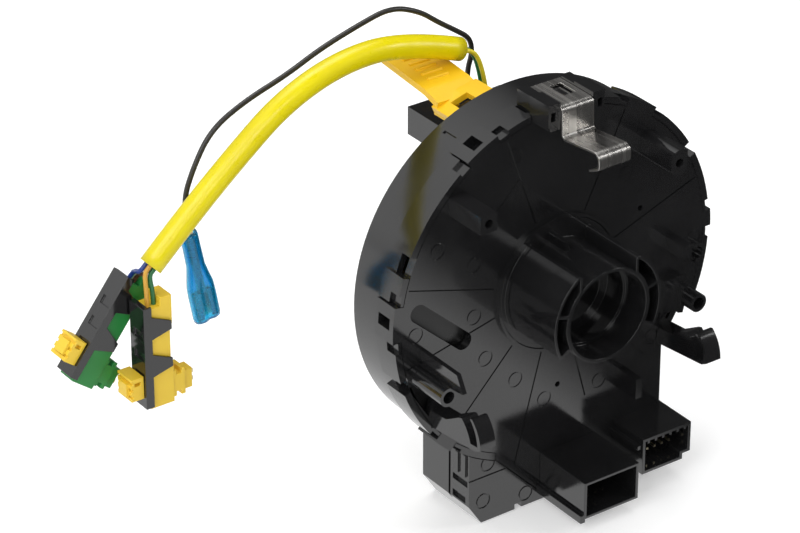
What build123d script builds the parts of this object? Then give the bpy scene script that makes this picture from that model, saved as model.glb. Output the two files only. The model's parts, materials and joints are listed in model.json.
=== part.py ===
from build123d import *
from math import acos, atan2, cos, degrees, pi, radians, sin, tan
import os

os.makedirs("parts", exist_ok=True)

# A steering clock spring, in millimetres. -Y faces the steering column, +Y the wheel, +Z is up.
# The origin is on the turning axis, where it meets the front face.

# Drum
wall_radius = 50.0
wall = 2.0
rim_step = 1.0
rim_depth = 8.0
drum_depth = 19.2
plate_thickness = 2.5
seat_width = 1.2
part_gap = 0.2

# Front hub
tube_radius = 13.1
tube_wall = 0.9
tube_reach = 21.7
tube_step_depth = 8.3
tube_step = 0.8
shaft_radius = 8.6
shaft_seat_front = 7.0
shaft_seat_rear = 3.0
ear_radius = 17.2
ear_wall = 0.8
ear_half_angle = 44.0
journal_radius = 17.3
running_gap = 0.08
lip_radius = 19.4
lip_height = 1.2

# Cable chamber and rotor
hub_radius = 19.0
hub_wall = 1.5
disc_thickness = 3.1
disc_gap = 0.4
film_thickness = 0.3
ribbon = 0.35
ribbon_width = 7.0
ribbon_start = 22.5
ribbon_pitch = 2.4
ribbon_turns = 8

# Bottom box and sockets
box_left = -27.2
box_right = 36.5
box_drop = 15.2
box_depth = 20.5
box_wall = 1.6
tongue_right = 36.8
tongue_rise = 2.7
socket_wall = 0.9
pin_size = 0.64
pin_pitch = 2.5
pin_row_gap = 3.6
pin_reach = 8.0
carrier_depth = 5.0

# Clip at the top
clip_thickness = 0.6
clip_half_width = 5.1
clip_rise = 4.0
rail_width = 3.8
rail_rise = 1.5
rail_step = 0.6

# Tower, lock tab and harness
tower_left = -16.4
tower_right = 9.0
tower_depth = 4.5
exit_depth = 26.3
tower_inset = 0.4
tab_clearance = 0.3
tab_thickness = 1.8
tongue_slot = (5.0, 3.0)
slot_clearance = 0.2
sleeve_diameter = 6.3
wire_diameter = 1.2
horn_diameter = 1.4

rim_radius = wall_radius + rim_step
disc_front = drum_depth - disc_thickness - 0.2
disc_rear = disc_front + disc_thickness
plate_radius = rim_radius - seat_width - 0.9
wall_inner = wall_radius - wall
disc_radius = wall_inner - disc_gap
box_bottom = -(wall_radius + box_drop)
tongue_bottom = box_bottom + tongue_rise
clip_level = wall_radius + clip_rise
rail_top = clip_level + rail_rise
tower_radius = disc_radius - tower_inset
tower_low = tower_radius - 19.2
exit_level = tower_radius - 11.4


def facing(depth):
    """A sketch plane that faces the column, at this depth behind the front face."""
    return Plane.XZ.offset(-depth)


def polar(radius, angle):
    return (radius * cos(radians(angle)), radius * sin(radians(angle)))


def sector(radius, low, high, mode=Mode.ADD):
    """A pie slice about the turning axis, wide enough to reach the radius."""
    steps = [low + (high - low) * i / 6 for i in range(7)]
    reach = radius / cos(radians((high - low) / 12))
    Polygon((0, 0), *[polar(reach, a) for a in steps], align=None, mode=mode)


def band(x_low, x_high, z_low, z_high, mode=Mode.ADD):
    """A rectangle given by its edges."""
    with Locations(((x_low + x_high) / 2, (z_low + z_high) / 2)):
        Rectangle(x_high - x_low, z_high - z_low, mode=mode)


def scribed(pairs, width):
    """Straight lines of this width between pairs of points."""
    with BuildLine() as marks:
        for start, end in pairs:
            Line(start, end)
    trace(marks.line.edges(), line_width=width)


# Snap joints between plate and case: angle of each tab and half its width, in degrees
snap_tabs = [(118, 6.0), (176, 6.0), (226, 4.0), (3, 3.0), (58, 6.0)]
step_half = 3.4
rim_notches = [(158, 3.2), (198, 2.4), (30, 2.4)]
tab_play = 0.25
tab_proud = 0.6
window_half = 1.8


# Face plate: the front cover with all that is moulded on it
tongue_left = -18.5
tongue_outline = [(tongue_left, -40), (tongue_left, 2.6 - wall_radius), (-3.8, tongue_bottom),
                  (tongue_right, tongue_bottom), (tongue_right, -30)]
socket_left = (-4.0, 14.1, box_bottom + 3.7, box_bottom + 14.8)
socket_left_reach = 19.2
socket_right = (20.4, tongue_right, box_bottom + 5.4, box_bottom + 16.2)
socket_right_reach = 13.0
contact_way = 2.0
cut_top_z = -20.5
post_left = polar(plate_radius - 3.4, 134.3)
post_right = polar(plate_radius - 6.5, 47.0)
post_reach = 13.0
post_hole_radius = 1.2
boss_left = polar(plate_radius - 3.3, 196.8)
boss_left_reach = 13.0
boss_right = polar(plate_radius - 4.4, -21.6)
boss_right_reach = 8.5
boss_radius = 2.6
boss_hole_radius = 1.7
boss_hole_depth = 7.0
hook_width = 4.8
hook_outer = plate_radius - 9.6
cut_left_x = hook_outer - 3.0
hook_low_z = -30.0
slot_centre = (12.3 - plate_radius, -1.4)
slot_size = (24.0, 5.0)
slot_angle = -42.0
line_start = lip_radius + 0.6
line_end = plate_radius - 0.6
face_lines = [
    (polar(line_start, 110), polar(line_end, 110)),
    ((-25.4, 20.6), (-12.4, 33.6)),
    (polar(line_start, 19.7), polar(line_end, 19.7)),
    (polar(line_start, -46.7), polar(line_end - 4.3, -46.7)),
    (polar(line_start, -74.4), (10.6, -38.0)),
    (polar(line_start, -102.5), (-12.5, -50.6)),
    (polar(line_start, -134), polar(line_end - 3.3, -134)),
    (polar(line_start, -167.6), polar(line_end, -167.6)),
    (polar(line_start, 168), polar(line_end, 165)),
    (polar(line_start, 64), polar(line_end, 64)),
]
eject_marks = [(-26.3, -1.8), (-22.5, -15.3), (-12.7, -25.0), (-3.1, -34.2), (-44.6, -1.1), (-37.9, 20.9),
               (15.1, -34.9), (32.5, -27.5), (45.9, -1.7), (-26.5, 13.4), (22.0, 24.5), (12.5, 38.5),
               (-14.0, 40.5), (29.5, -8.6)]
eject_radius = 2.3
pin_holes = [(1.3, -31.3), (27.3, 12.8)]
recess_left = 1.7 - plate_radius


def tongue_shape(grow=0.0):
    Polygon(*tongue_outline, align=None)
    if grow:
        offset(amount=grow, kind=Kind.INTERSECTION)


def hook_profile():
    """Snap hook seen from the side: an arm with a curved channel at its end."""
    with BuildSketch() as profile:
        with BuildLine():
            Polyline((0.5, hook_low_z), (-18.6, -27.9), (-20.6, -26.8))
            ThreePointArc((-20.6, -26.8), (-19.7, -22.8), (-16.9, -19.2))
            Line((-16.9, -19.2), (-16.0, -19.5))
            ThreePointArc((-16.0, -19.5), (-18.5, -23.0), (-19.3, -26.3))
            Line((-19.3, -26.3), (-16.4, -26.6))
            ThreePointArc((-16.4, -26.6), (-15.2, -23.9), (-12.6, -21.0))
            Polyline((-12.6, -21.0), (-11.4, -21.4), (-6.0, -24.6), (0.5, -25.2), (0.5, hook_low_z))
        make_face()
    return profile.sketch_local


with BuildPart() as face_plate:
    with BuildSketch(facing(0)):
        Circle(plate_radius)
        tongue_shape()
        band(cut_left_x, rim_radius + 5, socket_right[3], cut_top_z, mode=Mode.SUBTRACT)
    extrude(amount=-plate_thickness)
    # snap tabs reach out over the case
    with BuildSketch(facing(0)):
        for angle, half in snap_tabs:
            sector(rim_radius + tab_proud, angle - half + tab_play, angle + half - tab_play)
        Circle(rim_radius + tab_proud, mode=Mode.INTERSECT)
        Circle(wall_inner + part_gap, mode=Mode.SUBTRACT)
    extrude(amount=-(rim_depth - tab_play))
    with BuildSketch(facing(1.6)):
        for angle, half in snap_tabs:
            sector(rim_radius + 2, angle - window_half, angle + window_half)
        Circle(plate_radius - 0.4, mode=Mode.SUBTRACT)
    extrude(amount=-(rim_depth - 3.2), mode=Mode.SUBTRACT)
    # lip ring round the hub
    with BuildSketch(facing(0)):
        Circle(lip_radius)
    extrude(amount=lip_height)
    with BuildSketch(facing(-lip_height)):
        Circle(lip_radius - 0.8)
    extrude(amount=-lip_height, mode=Mode.SUBTRACT)
    with BuildSketch(facing(-lip_height)):
        Circle(journal_radius + running_gap)
    extrude(amount=-(lip_height + plate_thickness), mode=Mode.SUBTRACT)
    # screw posts and bosses
    with BuildSketch(facing(0)):
        with Locations(post_left):
            Rectangle(5.2, 5.0)
        with Locations(post_right):
            SlotOverall(7.4, 5.2, rotation=90)
        with Locations((post_right[0], post_right[1] + 1.2)):
            Rectangle(5.2, 4.0)
    extrude(amount=post_reach)
    with Locations(facing(-post_reach)):
        with Locations(post_left, post_right):
            Hole(post_hole_radius, depth=post_reach - 2)
    with BuildSketch(facing(0)):
        with Locations(boss_left):
            Circle(boss_radius)
    extrude(amount=boss_left_reach)
    with BuildSketch(facing(0)):
        with Locations(boss_right):
            Circle(boss_radius)
        band(boss_right[0] - 7.4, boss_right[0] - 1.0, boss_right[1] - 3.6, boss_right[1] + 6.4)
    extrude(amount=3.0)
    with BuildSketch(facing(0)):
        with Locations(boss_right):
            Circle(boss_radius)
    extrude(amount=boss_right_reach)
    with BuildSketch(facing(0)):
        with Locations((boss_right[0] - 2.4, boss_right[1] + 0.4)):
            Rectangle(1.6, 7.6, rotation=-14)
    extrude(amount=5.2)
    with Locations(facing(-boss_left_reach)):
        with Locations(boss_left):
            Hole(boss_hole_radius, depth=boss_hole_depth)
    with Locations(facing(-boss_right_reach)):
        with Locations(boss_right):
            Hole(boss_hole_radius, depth=boss_hole_depth)
    # web beside the left boss
    web_x = boss_left[0] + 0.9
    with BuildSketch(Plane.YZ.offset(web_x)):
        web_low = boss_left[1] + 2.1
        web_high = boss_left[1] + 7.2
        Polygon((0.5, web_high), (-15.0, web_high), (-17.6, web_low + 0.6), (-12.9, web_low), (0.5, web_low),
                align=None)
    extrude(amount=1.3)
    # snap hooks, left and right
    for start in (hook_outer - hook_width, -hook_outer):
        with BuildSketch(Plane.YZ.offset(start)):
            add(hook_profile())
        extrude(amount=hook_width)
        with BuildSketch(facing(0)):
            band(start, start + hook_width, hook_low_z, -25.2)
        extrude(amount=-plate_thickness)
    # small stops on the face
    with BuildSketch(facing(0)):
        band(22.2, 24.2, -40.0, -34.0)
        band(36.5, 39.5, -2.4, 1.4)
    extrude(amount=7.0)
    with BuildSketch(facing(0)):
        with Locations((plate_radius - 3.3, -5.4)):
            Circle(2.8)
            Circle(1.8, mode=Mode.SUBTRACT)
        band(plate_radius - 8.9, plate_radius - 3.9, -9, -2, mode=Mode.SUBTRACT)
    extrude(amount=2.2)
    # rails of the spring clip, with a floor between them: the front half is stouter
    with BuildSketch(facing(6.9)):
        band(-clip_half_width - rail_width + rail_step, clip_half_width + rail_width - rail_step,
             wall_radius - 1.8, rail_top - rail_step)
        band(-clip_half_width, clip_half_width, clip_level - clip_thickness, rail_top + 1, mode=Mode.SUBTRACT)
        band(-clip_half_width + 1, clip_half_width - 1, wall_radius - 2, clip_level - 1.6, mode=Mode.SUBTRACT)
    extrude(amount=13.6)
    with BuildSketch(facing(1.0)):
        band(-clip_half_width - rail_width, clip_half_width + rail_width, wall_radius - 0.6, rail_top)
        band(-clip_half_width, clip_half_width, wall_radius - 2, rail_top + 1, mode=Mode.SUBTRACT)
    extrude(amount=7.7)
    with BuildSketch(facing(8)):
        for side in (-1, 1):
            edge = side * (clip_half_width + 0.3)
            band(min(0, edge), max(0, edge), clip_level - clip_thickness / 2, clip_level + clip_thickness / 2)
    extrude(amount=16, mode=Mode.SUBTRACT)
    with BuildSketch(facing(0)):
        band(-clip_half_width - rail_width, clip_half_width + rail_width, wall_radius - 3.5, wall_radius)
    extrude(amount=-plate_thickness)
    # room for the clip's front bend
    with BuildSketch(facing(-4.2)):
        band(-clip_half_width, clip_half_width, wall_radius - 1, clip_level)
    extrude(amount=4.0, mode=Mode.SUBTRACT)
    # hollow ends of the rails
    with BuildSketch(facing(-6.7)):
        for side in (-1, 1):
            middle = side * (clip_half_width + rail_width / 2 + 0.4)
            with Locations((middle, clip_level - 1.9)):
                Rectangle(1.4, 2.4)
    extrude(amount=-5.0, mode=Mode.SUBTRACT)
    # pocket slot, side recess and locating holes
    with BuildSketch(facing(0)):
        with Locations(slot_centre):
            SlotOverall(*slot_size, rotation=slot_angle)
        Polygon((recess_left, -15.5), (recess_left + 6.2, -16.6), (recess_left + 9.2, -21.0),
                (recess_left + 6.8, -26.4), align=None)
        with Locations(*pin_holes):
            Circle(0.8)
    extrude(amount=-plate_thickness, mode=Mode.SUBTRACT)
    # ways through to the sockets
    with BuildSketch(facing(0)):
        for low_x, high_x, low_z, high_z in (socket_left, socket_right):
            band(low_x + contact_way, high_x - contact_way, low_z + contact_way, high_z - contact_way)
    extrude(amount=-plate_thickness, mode=Mode.SUBTRACT)
    # scribed lines and ejector marks on the face
    with BuildSketch(facing(0)):
        scribed(face_lines, 0.45)
        band(socket_left[0], 60, box_bottom, 9.5 - wall_radius, mode=Mode.SUBTRACT)
    extrude(amount=-0.35, mode=Mode.SUBTRACT)
    with BuildSketch(facing(0)):
        with Locations(*eject_marks):
            Circle(eject_radius)
            Circle(eject_radius - 0.4, mode=Mode.SUBTRACT)
    extrude(amount=-0.2, mode=Mode.SUBTRACT)
face_plate.part.label = "face_plate"
export_step(face_plate.part, "parts/face_plate.step")


# Socket shells, open to the front, on the tongue's face
def socket_shell(edges, reach):
    low_x, high_x, low_z, high_z = edges
    with BuildPart() as shell:
        with BuildSketch(facing(0)):
            band(low_x, high_x, low_z, high_z)
            band(low_x + socket_wall, high_x - socket_wall, low_z + socket_wall, high_z - socket_wall,
                 mode=Mode.SUBTRACT)
        extrude(amount=reach)
    return shell.part


with BuildPart() as left_socket:
    add(socket_shell(socket_left, socket_left_reach))
    # rail along the lower left corner
    with BuildSketch(facing(0)):
        band(socket_left[0] - 1.1, socket_left[0] + 0.5, socket_left[2] - 1.0, socket_left[2] + 1.4)
    extrude(amount=socket_left_reach)
left_socket.part.label = "left_socket"
export_step(left_socket.part, "parts/left_socket.step")

key_count = 6
corner_width = 2.6
corner_height = 1.7
key_width = 0.8
key_pitch = (socket_right[1] - socket_right[0] - 4.0) / (key_count - 1)
with BuildPart() as right_socket:
    add(socket_shell(socket_right, socket_right_reach))
    # keys under the upper wall
    with BuildSketch(facing(0)):
        for i in range(key_count):
            middle = socket_right[0] + 2.0 + i * key_pitch
            band(middle - key_width / 2, middle + key_width / 2, socket_right[3] - socket_wall - 0.8,
                 socket_right[3] - 0.5)
    extrude(amount=socket_right_reach)
    # stepped lower right corner
    with BuildSketch(facing(0)):
        band(socket_right[1] - corner_width, socket_right[1] + 1, socket_right[2] - 1, socket_right[2] + corner_height)
    extrude(amount=socket_right_reach, mode=Mode.SUBTRACT)
    with BuildSketch(facing(0)):
        band(socket_right[1] - corner_width - socket_wall, socket_right[1], socket_right[2],
             socket_right[2] + corner_height + socket_wall)
        band(socket_right[1] - corner_width, socket_right[1] + 1, socket_right[2] - 1, socket_right[2] + corner_height,
             mode=Mode.SUBTRACT)
    extrude(amount=socket_right_reach)
    # ledges under it and on its left
    with BuildSketch(facing(0)):
        band(socket_right[0] + 4.5, socket_right[0] + 10.5, socket_right[2] - 1.4, socket_right[2] + 0.3)
    extrude(amount=socket_right_reach - 2)
    with BuildSketch(facing(0)):
        band(socket_right[0] - 1.0, socket_right[0] + 0.3, socket_right[3] - 3.4, socket_right[3] - 2.2)
    extrude(amount=socket_right_reach - 1)
right_socket.part.label = "right_socket"
export_step(right_socket.part, "parts/right_socket.step")


# Drum case: rim, seat for the plate and smooth wall
cable_block_half = 7.0
cable_block_depth = disc_front - rim_depth - 1.7
cable_clearance = 0.7
with BuildPart() as drum_case:
    with BuildSketch(facing(0)):
        Circle(rim_radius)
        Circle(wall_inner, mode=Mode.SUBTRACT)
    extrude(amount=-rim_depth)
    with BuildSketch(facing(0)):
        Circle(plate_radius + part_gap)
    extrude(amount=-plate_thickness, mode=Mode.SUBTRACT)
    with BuildSketch(facing(rim_depth)):
        Circle(wall_radius)
        Circle(wall_inner, mode=Mode.SUBTRACT)
    extrude(amount=-(drum_depth - rim_depth))
    # notches for the snap tabs, with a step beside each
    with BuildSketch(facing(0)):
        for angle, half in snap_tabs:
            sector(rim_radius + 2, angle - half, angle + half)
        Circle(plate_radius - 1.6, mode=Mode.SUBTRACT)
        for angle, half in rim_notches:
            sector(rim_radius + 2, angle - half, angle + half)
        Circle(wall_inner - 1, mode=Mode.SUBTRACT)
    extrude(amount=-rim_depth, mode=Mode.SUBTRACT)
    with BuildSketch(facing(rim_depth)):
        for angle, half in rim_notches:
            sector(rim_radius, angle - half - 0.5, angle + half + 0.5)
        Circle(wall_radius, mode=Mode.INTERSECT)
        Circle(wall_inner, mode=Mode.SUBTRACT)
    extrude(amount=rim_depth - 4.5)
    with BuildSketch(facing(0)):
        for angle, half in snap_tabs:
            sector(rim_radius + 2, angle - half - step_half, angle + half + step_half)
        Circle(wall_radius, mode=Mode.SUBTRACT)
    extrude(amount=-3.5, mode=Mode.SUBTRACT)
    # clear of the tongue, the sockets' side and the clip's rails
    with BuildSketch(facing(0)):
        far = rim_radius + 10
        Polygon((tongue_left - part_gap, -40), (tongue_left - part_gap, -far), (far, -far),
                (far, cut_top_z + part_gap), (40, cut_top_z + part_gap), (32, -34), align=None)
        band(-clip_half_width - rail_width - part_gap, clip_half_width + rail_width + part_gap, wall_radius - 6, far)
        Circle(wall_inner - 1, mode=Mode.SUBTRACT)
    extrude(amount=-rim_depth, mode=Mode.SUBTRACT)
    with BuildSketch(facing(rim_depth)):
        Circle(wall_radius)
        Circle(wall_inner, mode=Mode.SUBTRACT)
        sector(80, -115, -25, mode=Mode.INTERSECT)
    extrude(amount=rim_depth - plate_thickness - part_gap)
    # hooks and their notches
    for start in (hook_outer - hook_width, -hook_outer):
        with BuildSketch(facing(-1)):
            band(start - part_gap, start + hook_width + part_gap, hook_low_z - part_gap, -24.4)
        extrude(amount=-(plate_thickness + 1 + part_gap), mode=Mode.SUBTRACT)
    # way through for the cable block
    with BuildSketch(facing(rim_depth + 0.6)):
        band(-cable_block_half - part_gap, cable_block_half + part_gap, -rim_radius - 2, 10 - wall_radius)
    extrude(amount=-(cable_block_depth + 2 * part_gap), mode=Mode.SUBTRACT)
    # shallow mark down the wall
    mark_x, mark_z = polar(wall_radius, 119)
    with Locations((mark_x, drum_depth - 5.5, mark_z)):
        Box(0.9, 5.0, 0.9, rotation=(0, -29, 0), mode=Mode.SUBTRACT)
drum_case.part.label = "drum_case"
export_step(drum_case.part, "parts/drum_case.step")


# Terminal cover: the box below the drum, open in front where the tongue closes it
box_outline = [(box_left, -34), (box_left, box_bottom + 6.1), (box_left + 4, box_bottom), (box_right, box_bottom),
               (box_right, -32), (0, -20)]


def box_shape(shrink=0.0):
    Polygon(*box_outline, align=None)
    Circle(rim_radius + part_gap, mode=Mode.SUBTRACT)
    if shrink:
        offset(amount=-shrink, kind=Kind.INTERSECTION, mode=Mode.REPLACE)


with BuildPart() as terminal_cover:
    with BuildSketch(facing(0)):
        box_shape()
    extrude(amount=-box_depth)
    with BuildSketch(facing(box_wall)):
        box_shape(shrink=box_wall)
    extrude(amount=-(box_depth - 2 * box_wall), mode=Mode.SUBTRACT)
    with BuildSketch(facing(-1)):
        tongue_shape(grow=part_gap)
    extrude(amount=-(1 + plate_thickness + part_gap), mode=Mode.SUBTRACT)
    with BuildSketch(facing(-1)):
        with Locations((-11.0, box_bottom)):
            Rectangle(2.2, 3.0)
    extrude(amount=-6.0, mode=Mode.SUBTRACT)
    # way through for the cable block
    with BuildSketch(facing(rim_depth + 0.6)):
        band(-cable_block_half - part_gap, cable_block_half + part_gap, -rim_radius - 5, -wall_radius)
    extrude(amount=-(cable_block_depth + 2 * part_gap), mode=Mode.SUBTRACT)
    # latch on the left corner: two slots with a bar between, and two ribs above
    with BuildSketch(Plane.YZ.offset(box_left - 1)):
        band(0.8, 7.2, box_bottom + 11.8, box_bottom + 13.6)
        band(1.6, 7.2, box_bottom + 6.6, box_bottom + 8.6)
        band(8.2, 9.0, box_bottom + 1.2, box_bottom + 23.2)
    extrude(amount=1.9, mode=Mode.SUBTRACT)
    with BuildSketch(Plane.YZ.offset(box_left - 0.5)):
        band(1.2, 2.4, box_bottom + 15.0, box_bottom + 21.6)
        band(4.4, 5.6, box_bottom + 15.0, box_bottom + 21.2)
    extrude(amount=0.8)
    # scribed line and marks on the front
    with BuildSketch(facing(0)):
        scribed([((box_left, box_bottom + 14.0), (-15.2, box_bottom + 14.0))], 0.45)
        with Locations((-22.6, box_bottom + 6.6), (-21.2, box_bottom + 17.6), (-8.6, box_bottom + 3.8)):
            Circle(eject_radius)
            Circle(eject_radius - 0.4, mode=Mode.SUBTRACT)
    extrude(amount=-0.3, mode=Mode.SUBTRACT)
terminal_cover.part.label = "terminal_cover"
export_step(terminal_cover.part, "parts/terminal_cover.step")


# Contact pins and the blocks that hold them behind the tongue
def socket_middle(edges):
    return ((edges[0] + edges[1]) / 2, (edges[2] + edges[3]) / 2)


def pin_pattern(edges, columns):
    with Locations(socket_middle(edges)):
        with GridLocations(pin_pitch, pin_row_gap, columns, 2):
            Rectangle(pin_size, pin_size)


def pin_rows(edges, columns):
    with BuildPart() as pins:
        with BuildSketch(facing(plate_thickness + carrier_depth)):
            pin_pattern(edges, columns)
        extrude(amount=plate_thickness + carrier_depth + pin_reach)
    return pins.part


def pin_carrier(edges, columns, top):
    right = min(edges[1] - 1.4, box_right - box_wall - part_gap)
    with BuildPart() as carrier:
        with BuildSketch(facing(plate_thickness)):
            band(edges[0] + 1.4, right, edges[2] + 1.6, top)
        extrude(amount=-carrier_depth)
        with BuildSketch(facing(plate_thickness)):
            band(edges[0] + 2.15, edges[1] - 2.15, edges[2] + 2.15, edges[3] - 2.15)
        extrude(amount=plate_thickness)
        with BuildSketch(facing(-1)):
            pin_pattern(edges, columns)
        extrude(amount=-(1 + plate_thickness + carrier_depth), mode=Mode.SUBTRACT)
    return carrier.part


with BuildPart() as left_socket_pins:
    add(pin_rows(socket_left, 6))
left_socket_pins.part.label = "left_socket_pins"
export_step(left_socket_pins.part, "parts/left_socket_pins.step")

with BuildPart() as right_socket_pins:
    add(pin_rows(socket_right, 5))
right_socket_pins.part.label = "right_socket_pins"
export_step(right_socket_pins.part, "parts/right_socket_pins.step")

with BuildPart() as left_pin_carrier:
    add(pin_carrier(socket_left, 6, -(rim_radius + box_wall + 3 * part_gap)))
left_pin_carrier.part.label = "left_pin_carrier"
export_step(left_pin_carrier.part, "parts/left_pin_carrier.step")

with BuildPart() as right_pin_carrier:
    add(pin_carrier(socket_right, 5, socket_right[3] - 1))
right_pin_carrier.part.label = "right_pin_carrier"
export_step(right_pin_carrier.part, "parts/right_pin_carrier.step")


# Spring clip: one bent strip of stainless steel
with BuildPart() as spring_clip:
    with BuildSketch(Plane.YZ):
        with BuildLine():
            FilletPolyline((6.8, clip_level), (-7.0, clip_level), (-7.3, clip_level - 8.4),
                           (-21.9, clip_level - 6.7), (-22.2, clip_level - 10.8), (-18.4, clip_level - 12.6),
                           radius=[1.3, 1.4, 1.9, 1.5])
        trace(line_width=clip_thickness)
    extrude(amount=clip_half_width - 0.1, both=True)
    with Locations((1.5, 1.2, clip_level)):
        Box(3.6, 6.2, 3, mode=Mode.SUBTRACT)
spring_clip.part.label = "spring_clip"
export_step(spring_clip.part, "parts/spring_clip.step")


# Flat cable chamber: film, cable ends and the wound ribbon
film_front = plate_thickness + 0.5
with BuildPart() as front_slip_film:
    with BuildSketch(facing(film_front)):
        Circle(wall_inner - 0.6)
        Circle(hub_radius + 0.6, mode=Mode.SUBTRACT)
    extrude(amount=-film_thickness)
front_slip_film.part.label = "front_slip_film"
export_step(front_slip_film.part, "parts/front_slip_film.step")

with BuildPart() as rear_slip_film:
    with BuildSketch(facing(disc_front - film_thickness)):
        Circle(wall_inner - 0.6)
        Circle(hub_radius + 0.3, mode=Mode.SUBTRACT)
    extrude(amount=-film_thickness)
rear_slip_film.part.label = "rear_slip_film"
export_step(rear_slip_film.part, "parts/rear_slip_film.step")

ribbon_front = rim_depth + 0.8 - 1.6
ribbon_plane = Plane(origin=(0, ribbon_front, 0), x_dir=(0, 0, -1), z_dir=(0, -1, 0))
ribbon_end = ribbon_start + ribbon_turns * ribbon_pitch
with BuildPart() as flat_cable:
    with BuildSketch(ribbon_plane):
        for half_turn in range(2 * ribbon_turns):
            radius = ribbon_start + half_turn * ribbon_pitch / 2
            upper = half_turn % 2 == 0
            shift = 0 if upper else ribbon_pitch / 2
            with BuildLine():
                CenterArc((shift, 0), radius, 0 if upper else 180, 180)
            trace(line_width=ribbon)
    extrude(amount=-ribbon_width)
flat_cable.part.label = "flat_cable"
export_step(flat_cable.part, "parts/flat_cable.step")

with BuildPart() as inner_cable_block:
    with BuildSketch(facing(ribbon_front)):
        band(-4.5, 0, -ribbon_start - 1.0, -hub_radius + 0.6)
        Circle(hub_radius, mode=Mode.SUBTRACT)
    extrude(amount=-ribbon_width)
inner_cable_block.part.label = "inner_cable_block"
export_step(inner_cable_block.part, "parts/inner_cable_block.step")

block_front = plate_thickness + carrier_depth
with BuildPart() as outer_cable_block:
    with BuildSketch(facing(rim_depth + 0.8)):
        band(-cable_block_half, cable_block_half, box_bottom + 7.2, -ribbon_end - cable_clearance)
    extrude(amount=-cable_block_depth)
    with BuildSketch(facing(block_front)):
        band(-cable_block_half + 6, cable_block_half, box_bottom + 5.2, box_bottom + 12.2)
    extrude(amount=-6)
outer_cable_block.part.label = "outer_cable_block"
export_step(outer_cable_block.part, "parts/outer_cable_block.step")


# Hub sleeve: front tube, hollow ears, flange and journal
def ear_outline(middle):
    """A crescent outside the tube. Its upper end wall stands upright, the lower one points to the axis."""
    low, high = middle - ear_half_angle, middle + ear_half_angle
    foot = tube_radius - 0.5
    foot_low, foot_high = low, high
    if middle < 90:
        foot_high = degrees(acos(ear_radius * cos(radians(high)) / foot))
    else:
        foot_low = degrees(acos(ear_radius * cos(radians(low)) / foot))
    with BuildSketch() as outline:
        with BuildLine():
            CenterArc((0, 0), ear_radius, low, high - low)
            Line(polar(ear_radius, high), polar(foot, foot_high))
            CenterArc((0, 0), foot, foot_low, foot_high - foot_low)
            Line(polar(foot, foot_low), polar(ear_radius, low))
        make_face()
        outer = outline.vertices().group_by(SortBy.DISTANCE)[-1]
        fillet(outer, radius=1.0)
    return outline.sketch_local


flange_radius = lip_radius - 0.8 - part_gap
flange_front = -1.0
flange_rear = -0.15
sleeve_rear = disc_front - 0.4
bore_radius = tube_radius - tube_wall
with BuildPart() as hub_sleeve:
    with BuildSketch(facing(sleeve_rear)):
        Circle(tube_radius)
    extrude(amount=sleeve_rear + tube_reach)
    for middle in (16, 164):
        with BuildSketch(facing(-tube_reach)):
            add(ear_outline(middle))
        extrude(amount=-(tube_reach + flange_front))
        with BuildSketch(facing(-tube_reach)):
            add(ear_outline(middle))
            offset(amount=-ear_wall, kind=Kind.INTERSECTION, mode=Mode.REPLACE)
            Circle(tube_radius + 0.1, mode=Mode.SUBTRACT)
            with Locations(polar((ear_radius + tube_radius) / 2, middle)):
                Rectangle(ear_radius, ear_wall, rotation=middle, mode=Mode.SUBTRACT)
        extrude(amount=-(tube_reach + flange_front - 1), mode=Mode.SUBTRACT)
    with BuildSketch(facing(flange_rear)):
        Circle(flange_radius)
    extrude(amount=flange_rear - flange_front)
    with BuildSketch(facing(plate_thickness + 0.4)):
        Circle(journal_radius)
    extrude(amount=plate_thickness + 0.4 - flange_rear)
    with BuildSketch(facing(0.8)):
        Circle(journal_radius - 1.5)
        Circle(tube_radius, mode=Mode.SUBTRACT)
    extrude(amount=-4, mode=Mode.SUBTRACT)
    # rib on top of the tube
    with BuildSketch(facing(flange_front)):
        with Locations(polar(tube_radius + 1.4, 100)):
            Rectangle(3.4, 1.3, rotation=100)
    extrude(amount=6.5)
    # bore: front step, shaft seat, and a wide mouth for the wheel's boss
    with BuildSketch(facing(-tube_reach)):
        Circle(bore_radius)
    extrude(amount=-tube_step_depth, mode=Mode.SUBTRACT)
    with BuildSketch(facing(-tube_reach)):
        Circle(bore_radius - tube_step)
    extrude(amount=-(tube_reach - shaft_seat_front), mode=Mode.SUBTRACT)
    with BuildSketch(facing(-shaft_seat_front)):
        Circle(shaft_radius)
    extrude(amount=-(shaft_seat_front + shaft_seat_rear), mode=Mode.SUBTRACT)
    with BuildSketch(facing(shaft_seat_rear)):
        Circle(bore_radius - tube_step)
    extrude(amount=-(sleeve_rear - shaft_seat_rear), mode=Mode.SUBTRACT)
hub_sleeve.part.label = "hub_sleeve"
export_step(hub_sleeve.part, "parts/hub_sleeve.step")


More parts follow.
